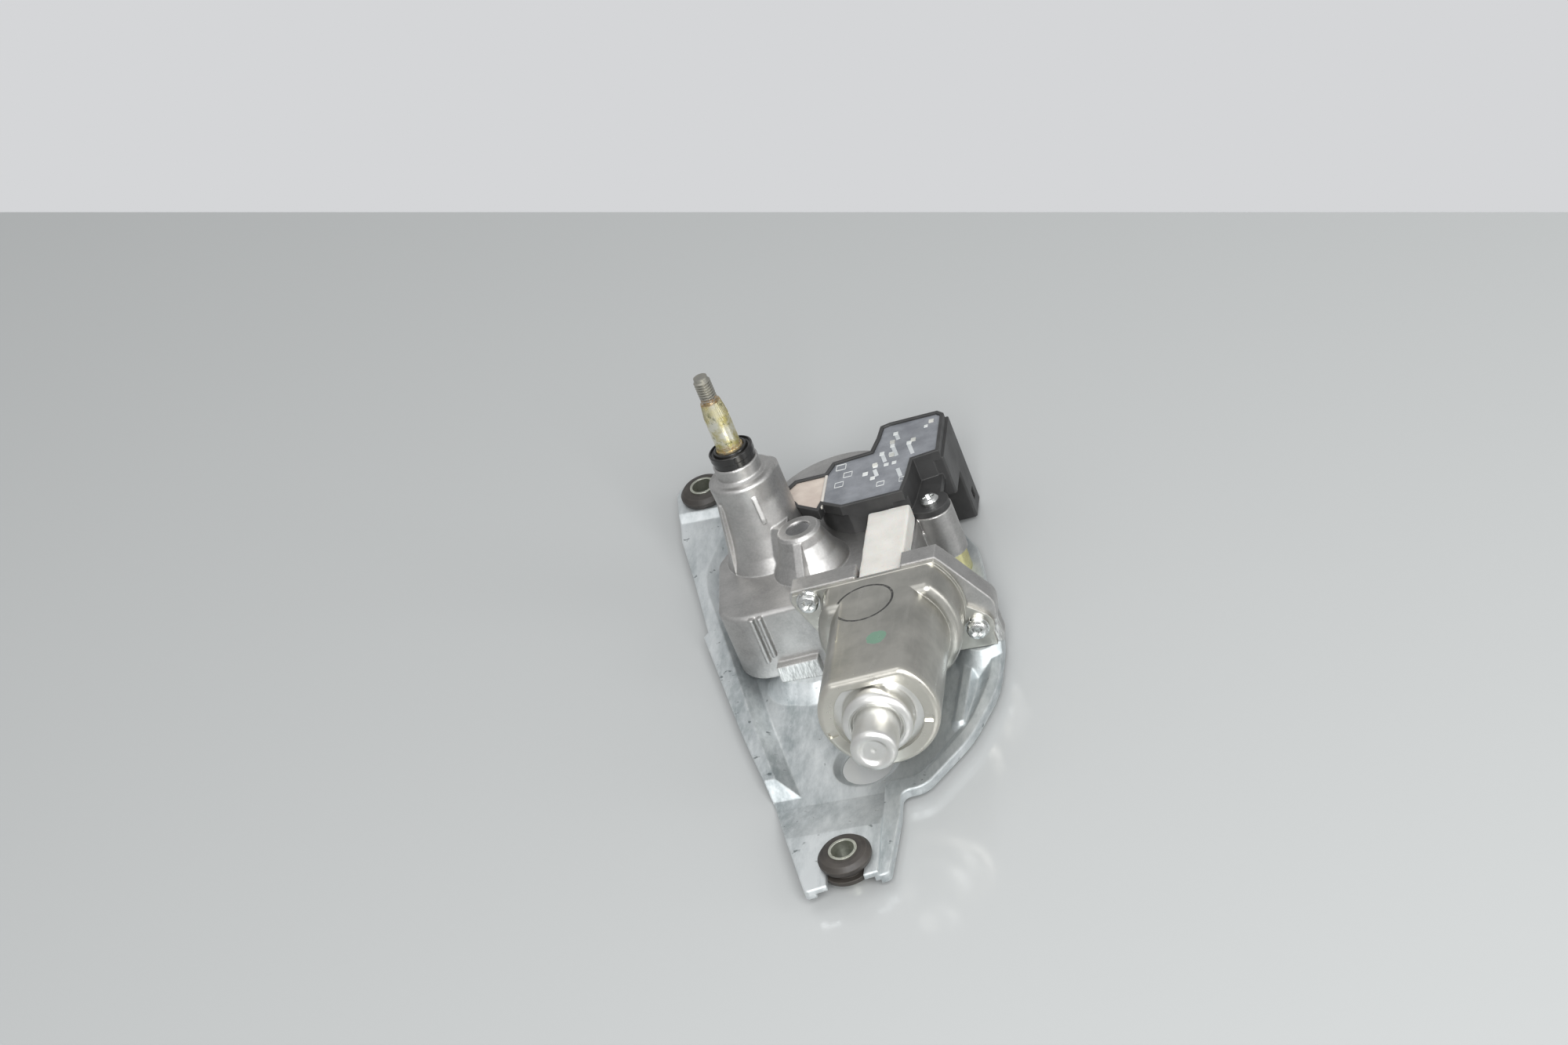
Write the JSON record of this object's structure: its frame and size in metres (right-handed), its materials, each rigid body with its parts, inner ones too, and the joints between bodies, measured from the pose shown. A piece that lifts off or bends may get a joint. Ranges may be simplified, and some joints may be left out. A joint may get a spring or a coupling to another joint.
{
  "type": "wiper motor",
  "caption": "Rear-window wiper motor: gear unit with slanted output spindle and flanged drive motor on a stamped, rubber-mounted bracket.",
  "frame": {"origin": "where the wiper spindle's axis meets the top face of the bracket's floor", "axes": "+Z is the normal of the bracket's sheet, away from it towards the gear unit; +Y runs along the bracket from the motor's nose to the spindle end; +X to the side of the plug hood. The spindle leans 4 degrees towards -X and 6.5 degrees towards +Y."},
  "size_m": [0.1288, 0.2304, 0.1014],
  "materials": {
    "zinc_plated_sheet": "zinc-plated, lightly dulled",
    "cast_aluminium": "die-cast, bare, slightly rough",
    "drawn_steel": "zinc-plated deep-drawn steel",
    "bright_steel": "turned and zinc-plated",
    "passivated_spindle_steel": "olive-yellow passivated, lightly rusted",
    "yellow_passivated_steel": "yellow passivated",
    "tool_steel": "hardened and ground",
    "sintered_bronze": "oil-filled sintered bronze",
    "contact_brass": "stamped",
    "winding_copper": "enamelled copper",
    "ferrite": "sintered ferrite",
    "carbon": "pressed carbon",
    "grommet_rubber": "moulded, dull",
    "seal_rubber": "moulded, slightly glossy",
    "black_plastic": "fine-grained moulding",
    "brown_laminate": "phenolic moulding",
    "gear_acetal": "moulded acetal",
    "milky_potting": "poured, milky",
    "foam": "closed-cell foam strip"
  },
  "bodies": {
    "gear_unit": {"mounting_bracket": "zinc_plated_sheet", "front_grommet": "grommet_rubber", "front_sleeve": "bright_steel", "rear_left_grommet": "grommet_rubber", "rear_left_sleeve": "bright_steel", "rear_right_grommet": "grommet_rubber", "rear_right_sleeve": "bright_steel", "gear_housing": "cast_aluminium", "base_cover": "zinc_plated_sheet", "foot_screws": "bright_steel", "spacer_collar": "yellow_passivated_steel", "sector_pin": "tool_steel", "wheel_pin": "tool_steel", "lower_spindle_bush": "sintered_bronze", "upper_spindle_bush": "sintered_bronze", "thrust_washer": "bright_steel", "spindle_seal": "seal_rubber", "motor_can": "drawn_steel", "motor_end_cap": "drawn_steel", "motor_screws": "bright_steel", "spring_washers": "bright_steel", "nose_bush": "sintered_bronze", "thrust_ball": "bright_steel", "left_magnet": "ferrite", "right_magnet": "ferrite", "brush_plate": "brown_laminate", "left_brush": "carbon", "right_brush": "carbon", "worm_end_bush": "sintered_bronze", "connector_tray": "black_plastic", "potting": "milky_potting", "post_pins": "bright_steel", "terminals": "contact_brass", "tray_screw": "bright_steel", "foam_pad": "foam"},
    "armature": {"armature_shaft": "tool_steel", "armature_core": "tool_steel", "armature_windings": "winding_copper", "commutator": "winding_copper"},
    "wheel": {"worm_wheel": "gear_acetal"},
    "spindle": {"wiper_spindle": "passivated_spindle_steel", "retaining_ring": "bright_steel"},
    "sector": {"sector_lever": "tool_steel"},
    "link": {"drive_link": "tool_steel"}
  },
  "joints": [
    {"name": "armature_spin", "type": "hinge", "parent": "gear_unit", "child": "armature", "pos_m": [0.04449, -0.04454, 0.02747], "axis": [-0.0079, -0.9936, 0.1129], "continuous": true},
    {"name": "wheel_spin", "type": "hinge", "parent": "gear_unit", "child": "wheel", "pos_m": [0.01911, 0.03096, 0.01697], "axis": [-0.0693, 0.1132, 0.9912], "continuous": true},
    {"name": "spindle_sweep", "type": "hinge", "parent": "gear_unit", "child": "spindle", "pos_m": [-0.00347, 0.00566, 0.04956], "axis": [-0.0693, 0.1132, 0.9912], "range_deg": [-50, 50]},
    {"name": "sector_swing", "type": "hinge", "parent": "gear_unit", "child": "sector", "pos_m": [0.01559, -0.01498, 0.01289], "axis": [-0.0693, 0.1132, 0.9912], "range_deg": [-22, 22]},
    {"name": "link_turn", "type": "hinge", "parent": "sector", "child": "link", "pos_m": [0.03226, -0.01288, 0.01684], "axis": [-0.0693, 0.1132, 0.9912], "range_deg": [-22, 22]}
  ],
  "couplings": [
    {"joint": "wheel_spin", "follows": "armature_spin", "ratio": 0.023256},
    {"joint": "sector_swing", "follows": "spindle_sweep", "ratio": -0.4375},
    {"joint": "link_turn", "follows": "spindle_sweep", "ratio": 0.4375}
  ]
}
